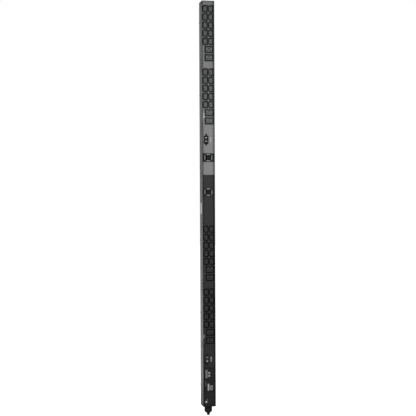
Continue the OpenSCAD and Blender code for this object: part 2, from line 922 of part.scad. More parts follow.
module current_transformers() {
  color(black)
    for (z = [upper_meter_z, lower_meter_z])
      translate([lead_xs[0], lead_y, z - transformer_t / 2])
        difference() {
          union() {
            cylinder(r = transformer_r, h = transformer_t);
            translate([-transformer_r, 0, 0])
              cube([2 * transformer_r, inner_y - lead_y, transformer_t]);
          }
          translate([-2 * transformer_r, inner_y - lead_y, -1])
            cube([4 * transformer_r, transformer_r, transformer_t + 2]);
          translate([0, 0, -1])
            cylinder(r = lead_r + lead_gap, h = transformer_t + 2);
        }
}

module feed_leads() {
  lead_top = upper_breaker_z;
  color(black)
    for (x = lead_xs)
      translate([x, lead_y, block_z + block_h / 2])
        cylinder(r = lead_r, h = lead_top - block_z - block_h / 2);
}

module terminal_block() {
  color(black)
    difference() {
      translate([-block_w / 2, inner_y - block_d, block_z - block_h / 2])
        cube([block_w, block_d, block_h]);
      for (x = lead_xs)
        translate([x, inner_y - block_d - cut, block_z])
          rotate([-90, 0, 0])
            cylinder(r = clamp_r, h = clamp_d + cut);
    }
}

// Network module, drawn with the plate's front at y = 0 and its middle at z = 0
panel_t = 1.6;
panel_depth = 18;
panel_wall = 1.6;
display_w = 10;
display_h = 37;
display_x = -12;
display_down = 29.5;
display_z = panel_h / 2 - display_down;
display_lip = 0.8;
display_glass_t = 1.8;
button_w = 9.4;
button_h = 8.4;
button_x = -0.4;
button_up = 4.3;
button_down = 8.3;
button_zs = [display_z + button_up, display_z - button_down];
button_gap = 0.3;
button_proud = 1.6;
button_flange = 1;
button_flange_t = 1.4;
jack_w = 15;
jack_h = 21.5;
jack_x = 8.8;
jack_margin = 2.85;
jack_z = -panel_box_h / 2 + panel_wall + jack_margin + jack_h / 2;
jack_proud = 0.4;
latch_w = 6;
latch_h = 2.2;
latch_step = 1;
port_w = 11.8;
port_h = 8.2;
port_d = 11;
board_t = 1.6;
board_y = 10;
button_stem_r = 2;
switch_w = 6;
switch_t = 3;
switch_y = board_y - switch_t;

module control_panel() {
  wall_y = plate_t;
  color(black)
    translate([0, face_y, panel_z])
      difference() {
        union() {
          block(0, 0, panel_w, panel_h, -panel_t, 0);
          block(0, 0, panel_box_w, panel_box_h, -eps, panel_depth);
        }
        block(0, 0, panel_box_w - 2 * panel_wall, panel_box_h - 2 * panel_wall, wall_y, panel_depth + 1);
        block(display_x, display_z, display_w, display_h, -panel_t - 1, wall_y + eps);
        block(display_x, display_z, display_w + 2 * (display_lip + fit_gap),
          display_h + 2 * (display_lip + fit_gap), wall_y - display_glass_t, wall_y + eps);
        for (z = button_zs)
          block(button_x, z, button_w + 2 * button_gap, button_h + 2 * button_gap,
            -panel_t - 1, wall_y + eps);
        block(jack_x, jack_z, jack_w + 2 * fit_gap, jack_h + 2 * fit_gap, -panel_t - 1, wall_y + eps);
      }
}

module display_window() {
  color(light_grey)
    translate([0, face_y, panel_z])
      block(display_x, display_z, display_w + 2 * display_lip, display_h + 2 * display_lip,
        plate_t - display_glass_t, plate_t);
}

// A cap with a flange behind the panel and a stem that ends above its switch
module scroll_button(z) {
  stem_front = plate_t + fit_gap;
  color(light_grey)
    translate([button_x, face_y, panel_z + z]) {
      block(0, 0, button_w, button_h, -panel_t - button_proud, stem_front + eps);
      block(0, 0, button_w, button_h + 2 * button_flange, stem_front, stem_front + button_flange_t);
      rod_y(button_stem_r, stem_front + button_flange_t - eps, switch_y - button_travel - fit_gap);
    }
}

module upper_scroll_button() { scroll_button(button_zs[0]); }
module lower_scroll_button() { scroll_button(button_zs[1]); }

module network_jack() {
  color(steel)
    translate([0, face_y, panel_z])
      difference() {
        block(jack_x, jack_z, jack_w, jack_h, -panel_t - jack_proud, board_y);
        block(jack_x, jack_z, port_w, port_h, -panel_t - 1, port_d - panel_t);
        block(jack_x, jack_z - port_h / 2 - latch_step, latch_w, latch_h, -panel_t - 1, port_d - panel_t);
      }
}

module network_board() {
  half_w = panel_box_w / 2 - panel_wall - fit_gap;
  half_h = panel_box_h / 2 - panel_wall - fit_gap;
  color(board_green)
    translate([0, face_y, panel_z]) {
      block(0, 0, 2 * half_w, 2 * half_h, board_y, board_y + board_t);
      block(display_x, display_z, display_w + display_lip, display_h + display_lip, plate_t, board_y + eps);
      for (z = button_zs)
        block(button_x, z, switch_w, switch_w, switch_y, board_y + eps);
    }
}

supply_w = 44;
supply_h = 70;
supply_t = 1.6;
supply_gap = 9;
standoff_r = 2.2;
supply_up = 16;
wound_z = 12;
wound_w = 24;
wound_h = 26;
wound_d = 9;
filter_z = 20;
filter_w = 30;
filter_h = 12;
filter_d = 7;

module power_supply_board() {
  color(board_green)
    translate([0, inner_y, panel_z + supply_up]) {
      block(0, 0, supply_w, supply_h, -supply_gap, -supply_gap + supply_t);
      for (sx = [-1, 1])
        for (sz = [-1, 1])
          translate([sx * (supply_w / 2 - standoff_r), 0, sz * (supply_h / 2 - standoff_r)])
            rod_y(standoff_r, -supply_gap + supply_t - eps, 0);
      block(0, wound_z, wound_w, wound_h, -supply_gap - wound_d, -supply_gap + eps);
      block(0, -filter_z, filter_w, filter_h, -supply_gap - filter_d, -supply_gap + eps);
    }
}

module ground_screw() {
  color(steel)
    translate([ground_x, face_y, bottom_z + ground_z])
      rotate([90, 0, 0])
        pan_screw(ground_head_r, ground_head_t, ground_r, ground_l);
}

// Cable gland, drawn from the bottom face of the end cap downwards
gland_y = back_y - gland_back;
collar_l = 7;
gland_nut_l = 24;
spigot_l = 10;
gland_wall = 2.5;
locknut_t = 5;
locknut_rim = 4.5;
seal_r = gland_thread_r - gland_wall - thread_gap;
seal_tail = 2;
nose_r = 6;
nose_base_r = 7.4;
dome_r = seal_r + thread_gap;
dome_lip = 1.5;
dome_l = 5;
dome_step = 0.4;

module gland_body() {
  length = spigot_l + collar_l + sheet_t + gland_thread_l;
  color(black)
    translate([0, gland_y, bottom_z])
      difference() {
        union() {
          translate([0, 0, -collar_l])
            cylinder(r = gland_r, h = collar_l);
          translate([0, 0, -collar_l - spigot_l])
            cylinder(r = gland_thread_r, h = length);
        }
        translate([0, 0, -collar_l - spigot_l - cut])
          cylinder(r = gland_thread_r - gland_wall, h = length + 2 * cut);
      }
}

module gland_locknut() {
  color(steel)
    translate([0, gland_y, bottom_z + sheet_t])
      difference() {
        cylinder(r = (gland_thread_r + locknut_rim) / cos(30), h = locknut_t, $fn = 6);
        translate([0, 0, -cut])
          cylinder(r = gland_thread_r + thread_gap, h = locknut_t + 2 * cut);
      }
}

// The nut has six flats on a round body that narrows at its end
module gland_nut() {
  color(black)
    translate([0, gland_y, bottom_z - collar_l - gland_nut_l])
      difference() {
        union() {
          translate([0, 0, dome_l])
            intersection() {
              cylinder(r = gland_r, h = gland_nut_l - dome_l);
              cylinder(r = gland_flat / cos(30), h = gland_nut_l - dome_l, $fn = 6);
            }
          cylinder(r1 = dome_r + dome_lip, r2 = gland_flat - dome_step, h = dome_l + eps);
        }
        translate([0, 0, gland_nut_l - spigot_l - cut])
          cylinder(r = gland_thread_r + thread_gap, h = spigot_l + 2 * cut);
        translate([0, 0, -cut])
          cylinder(r = dome_r, h = gland_nut_l + 2 * cut);
      }
}

module gland_seal() {
  nose_l = gland_l - collar_l - gland_nut_l;
  color(black)
    translate([0, gland_y, bottom_z - gland_l])
      difference() {
        union() {
          translate([0, 0, nose_l])
            cylinder(r = seal_r, h = gland_nut_l + seal_tail);
          cylinder(r1 = nose_r, r2 = nose_base_r, h = nose_l + eps);
        }
        translate([0, 0, -cut])
          cylinder(r = cord_r, h = nose_l + gland_nut_l + seal_tail + 2 * cut);
      }
}

rear_channel();
side_walls();
top_end_cap();
bottom_end_cap();
top_filler_plate();
bank_1_plate();
upper_filler_plate();
bank_2_plate();
upper_meter_plate();
lower_meter_plate();
bank_3_plate();
lower_filler_plate();
bank_4_plate();
control_plate();
bank_label_plates();
case_screws();
mounting_pegs();
peg_nuts();
bank_1_socket_frames();
bank_1_contact_carriers();
bank_2_socket_frames();
bank_2_contact_carriers();
bank_3_socket_frames();
bank_3_contact_carriers();
bank_4_socket_frames();
bank_4_contact_carriers();
upper_line_busbar();
upper_neutral_busbar();
upper_earth_busbar();
lower_line_busbar();
lower_neutral_busbar();
lower_earth_busbar();
upper_breaker_body();
upper_breaker_rocker();
lower_breaker_body();
lower_breaker_rocker();
breaker_screws();
upper_meter_case();
upper_meter_ring();
upper_meter_window();
upper_meter_board();
lower_meter_case();
lower_meter_ring();
lower_meter_window();
lower_meter_board();
current_transformers();
control_panel();
display_window();
upper_scroll_button();
lower_scroll_button();
network_jack();
network_board();
power_supply_board();
terminal_block();
feed_leads();
ground_screw();
gland_body();
gland_seal();
gland_nut();
gland_locknut();
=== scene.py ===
# %% [markdown]
# # A rack power strip, dressed for a studio picture
# The solids come from the CAD frame and keep their places. Blender adds the finishes, the small printed
# and moulded pieces that are too fine for the solids, and a studio with the camera of the product picture.

# %% Load the frame
import math

import bmesh
import bpy
import numpy as np
from mathutils import Matrix, Vector


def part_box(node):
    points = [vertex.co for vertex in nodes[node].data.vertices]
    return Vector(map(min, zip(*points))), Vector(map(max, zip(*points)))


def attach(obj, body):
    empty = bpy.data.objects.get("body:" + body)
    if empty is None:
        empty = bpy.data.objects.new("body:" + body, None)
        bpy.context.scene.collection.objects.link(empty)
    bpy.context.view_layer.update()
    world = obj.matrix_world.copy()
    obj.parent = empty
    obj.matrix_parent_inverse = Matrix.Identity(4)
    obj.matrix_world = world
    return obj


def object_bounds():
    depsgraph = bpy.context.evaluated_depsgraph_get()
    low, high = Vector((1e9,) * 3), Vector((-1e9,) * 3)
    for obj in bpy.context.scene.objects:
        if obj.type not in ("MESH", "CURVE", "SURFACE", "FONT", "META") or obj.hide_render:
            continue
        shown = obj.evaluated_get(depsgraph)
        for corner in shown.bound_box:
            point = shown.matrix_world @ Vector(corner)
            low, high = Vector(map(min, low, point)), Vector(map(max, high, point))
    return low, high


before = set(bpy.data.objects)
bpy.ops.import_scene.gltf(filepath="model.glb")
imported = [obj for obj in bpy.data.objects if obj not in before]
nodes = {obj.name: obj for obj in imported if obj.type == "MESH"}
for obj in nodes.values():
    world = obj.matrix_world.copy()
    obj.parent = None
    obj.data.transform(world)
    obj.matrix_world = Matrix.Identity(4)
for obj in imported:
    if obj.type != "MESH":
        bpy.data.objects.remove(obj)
cad_box = [list(map(float, corner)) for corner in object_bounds()]
print("nodes:", len(nodes), "box:", cad_box)

# %% [markdown]
# ## Measures
# Real sizes are written in millimetres and turned into metres. The strip faces the lowest Y, so that is the
# front of a piece. Much of what sits on a CAD node takes its place from that node's box; some of it is placed
# by typed numbers.

# %% Measures
MM = 0.001
X, Y, Z = range(3)


def lowest(node, axis):
    """The lowest coordinate of a CAD node along an axis."""
    return float(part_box(node)[0][axis])


def highest(node, axis):
    """The highest coordinate of a CAD node along an axis."""
    return float(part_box(node)[1][axis])


def middle(node, axis):
    """The coordinate halfway through a CAD node along an axis."""
    return (lowest(node, axis) + highest(node, axis)) / 2


PLATE_FRONT = lowest("upper_filler_plate", Y)
PANEL_FRONT = lowest("control_panel", Y)
STRIP_FRONT = lowest("bank_label_plates", Y)
print("fronts:", PLATE_FRONT, PANEL_FRONT, STRIP_FRONT)

# %% [markdown]
# ## Camera
# The strip is tall and thin, so a long lens stands a good four metres away at mid-height. It stands about
# twelve degrees to the left of the front, which shows a sliver of the left side. A lens shift could put the
# strip in the middle, but a small pitch, yaw and roll do it as a hand-held camera does.

# %% Camera
AZIMUTH, DISTANCE, EYE_HEIGHT = math.radians(11.52), 4.147, 0.0288
PITCH, YAW, ROLL = -0.0112, 0.0022, -0.0043
FOCAL_PIXELS, PICTURE, SENSOR = 933.0, 416, 36.0


def aim(heading, pitch, roll):
    """Rotation whose columns are right, up and backwards: the view follows heading and pitch, then rolls."""
    level = math.cos(pitch)
    forward = Vector((math.sin(heading) * level, math.cos(heading) * level, math.sin(pitch)))
    right = Vector((math.cos(heading), -math.sin(heading), 0))
    up = right.cross(forward)
    turned_right = math.cos(roll) * right + math.sin(roll) * up
    turned_up = math.cos(roll) * up - math.sin(roll) * right
    return Matrix((turned_right, turned_up, -forward)).transposed()


camera_data = bpy.data.cameras.new("camera")
camera_data.sensor_width = SENSOR
camera_data.lens = FOCAL_PIXELS / PICTURE * SENSOR
camera = bpy.data.objects.new("camera", camera_data)
camera.location = (-DISTANCE * math.sin(AZIMUTH), -DISTANCE * math.cos(AZIMUTH), EYE_HEIGHT)
camera.rotation_euler = aim(AZIMUTH + YAW, PITCH, ROLL).to_euler()
bpy.context.scene.collection.objects.link(camera)
bpy.context.scene.camera = camera
print("camera lens:", round(camera_data.lens, 2))

# %% [markdown]
# ## Meshes from arrays
# Every new piece is a stack of rings: a closed outline that is moved, shrunk or bent from one ring to the
# next, with a cap at each end. A rounded plate, a domed light and a bent contact are all such stacks, so one
# function turns an array of rings into a closed mesh.

# %% Ring stacks
def ring_stack(rings, start):
    """Points and faces of a closed skin over rings, an array (k, n, 3): quads join ring i to ring i + 1, and
    one face caps each end. The faces count their points from start."""
    k, n, _ = rings.shape
    i, j = np.meshgrid(np.arange(k - 1), np.arange(n), indexing="ij")
    here, there = i * n + j, i * n + (j + 1) % n
    quads = np.stack([here, there, there + n, here + n], -1).reshape(-1, 4)
    caps = np.stack([np.arange(n)[::-1], np.arange((k - 1) * n, k * n)])
    return rings.reshape(-1, 3), (quads + start).tolist() + (caps + start).tolist()


def place(name, mesh, body, material):
    """Recalculates the faces outwards, gives the mesh its finish and sets the object riding."""
    work = bmesh.new()
    work.from_mesh(mesh)
    bmesh.ops.recalc_face_normals(work, faces=work.faces[:])
    work.to_mesh(mesh)
    work.free()
    mesh.materials.append(material)
    obj = bpy.data.objects.new(name, mesh)
    bpy.context.scene.collection.objects.link(obj)
    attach(obj, body)
    print("piece:", name, len(mesh.polygons), "faces")


def piece(name, stacks, body, material):
    """One object from a list of ring arrays, with outward faces, riding on a CAD body."""
    points, faces, start = [], [], 0
    for rings in stacks:
        verts, polys = ring_stack(rings, start)
        points.append(verts)
        faces += polys
        start += len(verts)
    mesh = bpy.data.meshes.new(name)
    mesh.from_pydata(np.concatenate(points).tolist(), [], faces)
    mesh.validate()
    place(name, mesh, body, material)


def rounded_outline(width, height, radius, steps=6):
    """Outline (n, 2) of a rectangle whose corners are quarter circles of the radius."""
    turn = np.linspace(0, math.pi / 2, steps)
    corners = np.array([[1, 1], [-1, 1], [-1, -1], [1, -1]], float)
    centres = corners * [width / 2 - radius, height / 2 - radius]
    angle = turn[None, :] + np.arange(4)[:, None] * math.pi / 2
    arc = np.stack([np.cos(angle), np.sin(angle)], -1) * radius
    return (centres[:, None, :] + arc).reshape(-1, 2)


def front_plate(x, z, width, height, back, thick, radius, edge=0.25):
    """Rings of a thin plate on the front: the outline at the back, at the shoulder, and drawn in by the
    edge at the face."""
    outline = rounded_outline(width, height, radius)
    shrink = 1 - np.array([0, 0, 2 * edge * thick])[:, None] / np.array([width, height])
    depth = back - thick * np.array([0, 1 - edge, 1.0])
    flat = outline[None] * shrink[:, None, :]
    depths = np.broadcast_to(depth[:, None], flat.shape[:2])
    return np.stack([x + flat[..., 0], depths, z + flat[..., 1]], -1)


# %% [markdown]
# ## Finishes: shared surface effects
# Powder coat, moulded plastic and plated steel all have a fine texture whose grain differs in size. A node
# group gives a shade, a roughness and a height from two noises, so each finish sets its own grain. A second
# group finds the edges by comparing the normal with a rounded one, and breaks them up as wear does.

# %% Node helpers
def new_group(name, inputs, outputs):
    """An empty shader node group with float or vector sockets."""
    tree = bpy.data.node_groups.new(name, "ShaderNodeTree")
    for label, kind, default in inputs:
        made = tree.interface.new_socket(label, in_out="INPUT", socket_type=kind)
        if default is not None:
            made.default_value = default
    for label, kind in outputs:
        tree.interface.new_socket(label, in_out="OUTPUT", socket_type=kind)
    return tree, tree.nodes.new("NodeGroupInput"), tree.nodes.new("NodeGroupOutput")


def wire(tree, source, target):
    """Links an output socket to an input socket."""
    tree.links.new(source, target)


def feed(tree, value, socket):
    """Sets an input socket from another socket or from a number."""
    if hasattr(value, "is_linked"):
        wire(tree, value, socket)
    else:
        socket.default_value = value


def math_node(tree, operation, a, b):
    """A Math node whose inputs are sockets or numbers."""
    made = tree.nodes.new("ShaderNodeMath")
    made.operation = operation
    feed(tree, a, made.inputs[0])
    feed(tree, b, made.inputs[1])
    return made.outputs[0]


def noise_node(tree, vector, scale, detail):
    """Noise over a vector, with its scale as a socket or a number of features per metre."""
    made = tree.nodes.new("ShaderNodeTexNoise")
    made.inputs["Detail"].default_value = detail
    wire(tree, vector, made.inputs["Vector"])
    feed(tree, scale, made.inputs["Scale"])
    return made.outputs["Fac"]


def scaled_colour(tree, colour, factor):
    """A colour times a factor."""
    made = tree.nodes.new("ShaderNodeVectorMath")
    made.operation = "SCALE"
    wire(tree, colour, made.inputs[0])
    wire(tree, factor, made.inputs["Scale"])
    return made.outputs["Vector"]


# %% Shader groups
FINE_SHARE = 0.35
FINE_DETAIL, CLOUD_DETAIL = 2.0, 4.0
WEAR_RADIUS, WEAR_PATCH, WEAR_DETAIL = 0.4 * MM, 260.0, 3.0


def make_grain():
    """Grain: fine noise for the height, and fine plus cloudy noise, about zero, for the shade and the
    roughness."""
    tree, given, out = new_group(
        "surface_grain",
        [("Vector", "NodeSocketVector", None), ("Grain", "NodeSocketFloat", 1500.0),
         ("Cloud", "NodeSocketFloat", 30.0), ("Shade Spread", "NodeSocketFloat", 0.1),
         ("Roughness", "NodeSocketFloat", 0.5), ("Roughness Spread", "NodeSocketFloat", 0.1)],
        [("Shade", "NodeSocketFloat"), ("Roughness", "NodeSocketFloat"), ("Height", "NodeSocketFloat")])
    fine = noise_node(tree, given.outputs["Vector"], given.outputs["Grain"], FINE_DETAIL)
    cloud = noise_node(tree, given.outputs["Vector"], given.outputs["Cloud"], CLOUD_DETAIL)
    fine_part = math_node(tree, "MULTIPLY", fine, FINE_SHARE)
    cloud_part = math_node(tree, "MULTIPLY", cloud, 1 - FINE_SHARE)
    swing = math_node(tree, "SUBTRACT", math_node(tree, "ADD", fine_part, cloud_part), 0.5)
    shade_swing = math_node(tree, "MULTIPLY", swing, given.outputs["Shade Spread"])
    rough_swing = math_node(tree, "MULTIPLY", swing, given.outputs["Roughness Spread"])
    wire(tree, math_node(tree, "ADD", shade_swing, 1.0), out.inputs["Shade"])
    wire(tree, math_node(tree, "ADD", rough_swing, given.outputs["Roughness"]), out.inputs["Roughness"])
    wire(tree, fine, out.inputs["Height"])
    return tree


def make_edge_wear():
    """Wear: one minus the dot of the true normal and the rounded normal, raised by the gain and broken up by
    the square of a noise."""
    tree, given, out = new_group(
        "edge_wear",
        [("Vector", "NodeSocketVector", None), ("Gain", "NodeSocketFloat", 3.0)],
        [("Mask", "NodeSocketFloat"), ("Normal", "NodeSocketVector")])
    rounded = tree.nodes.new("ShaderNodeBevel")
    rounded.samples = 4
    rounded.inputs["Radius"].default_value = WEAR_RADIUS
    plain = tree.nodes.new("ShaderNodeNewGeometry")
    dot = tree.nodes.new("ShaderNodeVectorMath")
    dot.operation = "DOT_PRODUCT"
    wire(tree, rounded.outputs[0], dot.inputs[0])
    wire(tree, plain.outputs["Normal"], dot.inputs[1])
    bend = math_node(tree, "SUBTRACT", 1.0, dot.outputs["Value"])
    bare = math_node(tree, "MULTIPLY", bend, given.outputs["Gain"])
    patch = noise_node(tree, given.outputs["Vector"], WEAR_PATCH, WEAR_DETAIL)
    mask = math_node(tree, "MULTIPLY", bare, math_node(tree, "MULTIPLY", patch, patch))
    clamp = tree.nodes.new("ShaderNodeClamp")
    wire(tree, mask, clamp.inputs["Value"])
    wire(tree, clamp.outputs[0], out.inputs["Mask"])
    wire(tree, rounded.outputs[0], out.inputs["Normal"])
    return tree


GRAIN, WEAR = make_grain(), make_edge_wear()
print("groups:", [tree.name for tree in (GRAIN, WEAR)])


# %% [markdown]
# ## Finishes: one builder for coated, moulded and metal surfaces
# A finish is a Principled shader in its own material. Its base colour is multiplied by the grain's shade,
# edges go a little towards a bare colour, and the grain's height feeds a bump. What is the same all over,
# such as metallic or specular level, is set on the shader's own socket.

# %% Finish builder
def finish(name, colour, bare, rough, grain=1500.0, cloud=30.0, spread=0.25, rough_spread=0.15, bump=0.15,
           depth=0.04 * MM, metallic=0.0, specular=0.5, coat=0.0, gain=2.0, stretch=(1, 1, 1)):
    """A material from a colour, the colour of its worn edges, and the sizes of its grain."""
    made = bpy.data.materials.new(name)
    made.use_nodes = True
    tree = made.node_tree
    shader = tree.nodes["Principled BSDF"]
    shader.inputs["Metallic"].default_value = metallic
    shader.inputs["Specular IOR Level"].default_value = specular
    shader.inputs["Coat Weight"].default_value = coat
    where = tree.nodes.new("ShaderNodeTexCoord")
    turn = tree.nodes.new("ShaderNodeMapping")
    turn.inputs["Scale"].default_value = stretch
    wire(tree, where.outputs["Object"], turn.inputs["Vector"])
    texture = tree.nodes.new("ShaderNodeGroup")
    texture.node_tree = GRAIN
    for label, value in (("Grain", grain), ("Cloud", cloud), ("Shade Spread", spread),
                         ("Roughness", rough), ("Roughness Spread", rough_spread)):
        texture.inputs[label].default_value = value
    wire(tree, turn.outputs["Vector"], texture.inputs["Vector"])
    worn = tree.nodes.new("ShaderNodeGroup")
    worn.node_tree = WEAR
    worn.inputs["Gain"].default_value = gain
    wire(tree, where.outputs["Object"], worn.inputs["Vector"])
    tint = tree.nodes.new("ShaderNodeMix")
    tint.data_type = "RGBA"
    tint.inputs["A"].default_value = (*colour, 1)
    tint.inputs["B"].default_value = (*bare, 1)
    wire(tree, worn.outputs["Mask"], tint.inputs["Factor"])
    shaded = scaled_colour(tree, tint.outputs["Result"], texture.outputs["Shade"])
    wire(tree, shaded, shader.inputs["Base Color"])
    wire(tree, texture.outputs["Roughness"], shader.inputs["Roughness"])
    relief = tree.nodes.new("ShaderNodeBump")
    relief.inputs["Strength"].default_value = bump
    relief.inputs["Distance"].default_value = depth
    wire(tree, texture.outputs["Height"], relief.inputs["Height"])
    wire(tree, worn.outputs["Normal"], relief.inputs["Normal"])
    wire(tree, relief.outputs["Normal"], shader.inputs["Normal"])
    return made


def grey(value):
    """A neutral colour of one linear value."""
    return (value, value, value)


def cool(value):
    """A grey with a little less red than green."""
    return (0.93 * value, value, 0.99 * value)


# %% [markdown]
# ## Finishes: the strip's own surfaces
# The housing is black powder coat with a slight gloss, and its rims go to a dull grey, partly worn and partly
# a painted highlight. The plates are coated light grey above the seam and charcoal below it. Sockets are
# moulded, the bare metal pieces are zinc plated, and the busbars are copper. Finishes of one kind share the
# settings of their grain, so a recipe is a colour, the colour of its edges, and what differs from its kind.

# %% Kinds of surface
COAT_DEPTH, MOULD_DEPTH = 0.12 * MM, 0.07 * MM
HOUSING_COAT = dict(rough=0.38, grain=1100, spread=0.5, rough_spread=0.3, bump=0.5, depth=COAT_DEPTH)
PLATE_COAT = dict(rough=0.5, grain=1300, bump=0.45, depth=COAT_DEPTH)
SOCKET_MOULD = dict(rough=0.45, grain=1800, bump=0.35, depth=MOULD_DEPTH)
SMOOTH_MOULD = dict(grain=2200, bump=0.1)
BLACK_MOULD = dict(rough=0.48, grain=2000, bump=0.15, specular=0.3)
METAL = dict(grain=900, cloud=120, bump=0.1, gain=0.5)
PRINT = dict(rough=0.55, grain=2500, bump=0.05, gain=0.2)
LABEL = dict(rough=0.45, bump=0.05, gain=0.2)

# %% Recipes
RECIPES = {
    # The high gain and grey bare colour of the housing lighten its rims: partly edge wear, partly a painted
    # highlight.
    "chassis_black": (grey(0.007), grey(0.06), dict(HOUSING_COAT, gain=5.0)),
    # The side walls' lighter black is a painted sheen: the same black coat, lighter where light grazes the
    # side.
    "wall_black_painted_sheen": (grey(0.0115), grey(0.08), dict(HOUSING_COAT, gain=6.0)),
    "plate_light_grey": ((0.20, 0.20, 0.203), grey(0.30), PLATE_COAT),
    "plate_charcoal": ((0.0225, 0.0225, 0.0235), grey(0.05), dict(PLATE_COAT, specular=0.3)),
    "control_charcoal": (grey(0.0168), grey(0.05), dict(PLATE_COAT, specular=0.3)),
    "bank_plate_grey": ((0.15, 0.15, 0.153), grey(0.2), PLATE_COAT),
    "bank_plate_black": ((0.036, 0.036, 0.037), grey(0.06), dict(PLATE_COAT, specular=0.3)),
    # The socket frames are darker than their carriers as painted shade in the grooves round the cores.
    "socket_dark_grey": (cool(0.120), grey(0.15), SOCKET_MOULD),
    "frame_grey_painted_shade": (cool(0.046), grey(0.035), dict(SOCKET_MOULD, specular=0.3)),
    "socket_black": (grey(0.033), grey(0.06), dict(SOCKET_MOULD, specular=0.3)),
    "frame_black_painted_shade": (grey(0.012), grey(0.015), dict(SOCKET_MOULD, specular=0.25)),
    "panel_black": (grey(0.0118), grey(0.025), BLACK_MOULD),
    "black_plastic": (grey(0.008), grey(0.02), BLACK_MOULD),
    "black_rubber": (grey(0.006), grey(0.012), dict(rough=0.75, grain=1200, bump=0.3, specular=0.25)),
    "rocker_plastic": ((0.022, 0.022, 0.023), grey(0.05),
                       dict(rough=0.35, grain=2600, bump=0.08, specular=0.4)),
    "ring_grey": ((0.026, 0.027, 0.026), grey(0.06), dict(SMOOTH_MOULD, rough=0.42, specular=0.3)),
    "bezel_bar": ((0.23, 0.24, 0.235), grey(0.3), dict(SMOOTH_MOULD, rough=0.4)),
    "button_grey": ((0.30, 0.30, 0.302), grey(0.36), dict(SMOOTH_MOULD, rough=0.45)),
    "plated_steel": ((0.60, 0.61, 0.62), grey(0.7), dict(METAL, rough=0.4, metallic=1.0)),
    "bright_screw": ((0.72, 0.73, 0.74), grey(0.8), dict(METAL, rough=0.55, metallic=0.35)),
    "black_screw": (grey(0.02), grey(0.06), dict(METAL, rough=0.35, metallic=0.6)),
    "jack_shell": (grey(0.29), grey(0.5), dict(METAL, rough=0.5, grain=1200, cloud=90, metallic=0.7)),
    "gold_contact": ((0.8, 0.56, 0.22), (0.9, 0.7, 0.4), dict(rough=0.25, grain=900, metallic=1.0)),
    "copper_strip": ((0.72, 0.36, 0.20), (0.85, 0.5, 0.3),
                     dict(rough=0.3, grain=600, cloud=60, metallic=1.0, bump=0.1, stretch=(1, 1, 0.1))),
    "circuit_board": ((0.02, 0.10, 0.045), (0.3, 0.3, 0.2),
                      dict(rough=0.4, grain=500, cloud=180, spread=0.8, bump=0.2)),
    "white_print": (grey(0.7), grey(0.7), PRINT),
    "pale_print": (grey(0.38), grey(0.4), PRINT),
    "grey_print": (grey(0.09), grey(0.1), PRINT),
    "blank_label": (grey(0.45), grey(0.45), dict(LABEL, grain=900)),
    "blank_plate": (grey(0.49), grey(0.4), dict(LABEL, grain=1500)),
    "label_grey": ((0.024, 0.024, 0.025), grey(0.12), dict(LABEL, grain=1200, gain=0.5)),
    "lamp_lens": ((0.03, 0.05, 0.028), (0.06, 0.08, 0.06), dict(rough=0.2, grain=900, coat=0.3)),
    "segment_grey": ((0.006, 0.014, 0.011), grey(0.18), dict(rough=0.5, grain=900)),
    "smoked_window": ((0.002, 0.004, 0.003), grey(0.01),
                      dict(rough=0.16, grain=300, bump=0.0, gain=0.2, specular=0.2)),
    "display_glass": ((0.190, 0.198, 0.188), grey(0.24), dict(rough=0.22, grain=900, bump=0.02, coat=0.4)),
}
FINISHES = {}
for name, (colour, bare, settings) in RECIPES.items():
    FINISHES[name] = finish(name, colour, bare, **settings)
print("finishes:", len(FINISHES))

# %% [markdown]
# ## Finishes: windows
# The load meters have smoked windows, nearly black, which let some light through. The panel's display is a
# grey-green reflective glass with a fine grid of cells. The grid could be a mesh, but its cells are far too
# small to stand proud, so a product of two waves darkens the colour instead.

# %% Windows and display
SMOKE_CLEAR = 0.55
CELL_PITCH, CELL_SWING = 1.1 * MM, 0.06


def node_of(made, kind):
    """The first node of a kind in a finish."""
    return next(item for item in made.node_tree.nodes if item.bl_idname == kind)


def axes_of(made):
    """The three Object coordinates of a finish as sockets."""
    split = made.node_tree.nodes.new("ShaderNodeSeparateXYZ")
    wire(made.node_tree, node_of(made, "ShaderNodeTexCoord").outputs["Object"], split.inputs[0])
    return split.outputs


def add_cells(made):
    """Multiplies a finish's colour by one minus a swing, plus the swing doubled times sin x times sin z."""
    tree, axes = made.node_tree, axes_of(made)
    turns = [math_node(tree, "MULTIPLY", axes[axis], 2 * math.pi / CELL_PITCH) for axis in (X, Z)]
    waves = [math_node(tree, "SINE", turn, 0.0) for turn in turns]
    grid = math_node(tree, "MULTIPLY", math_node(tree, "MULTIPLY", *waves), 2 * CELL_SWING)
    base = node_of(made, "ShaderNodeBsdfPrincipled").inputs["Base Color"]
    darkened = scaled_colour(tree, base.links[0].from_socket, math_node(tree, "ADD", grid, 1 - CELL_SWING))
    wire(tree, darkened, base)


clear = node_of(FINISHES["smoked_window"], "ShaderNodeBsdfPrincipled").inputs["Transmission Weight"]
clear.default_value = SMOKE_CLEAR
add_cells(FINISHES["display_glass"])
print("windows: clear", round(clear.default_value, 2), "cell pitch", CELL_PITCH)

# %% [markdown]
# ## Surfaces in two tones
# Some CAD nodes show two tones. The four label strips are one node, but the upper two sit among light plates
# and the lower two among dark ones, and all have a dark right edge. A socket is paler on its face than in
# the groove round its core, where the darker tone is painted shade. The jack's face is darker than its port,
# the control plate is darker below the panel, and the blank plate is darker along its right side. The mesh
# could be cut for this, but a CAD mesh isn't changed, so a step in one coordinate chooses the tone.

# %% Two tones
GROOVE_EDGE = 0.8 * MM
# The blank plate is darker right of this line: a colour step on a flat plate.
PLATE_TONE_STEP = -2.2 * MM
LABEL_EDGE = 1.5 * MM


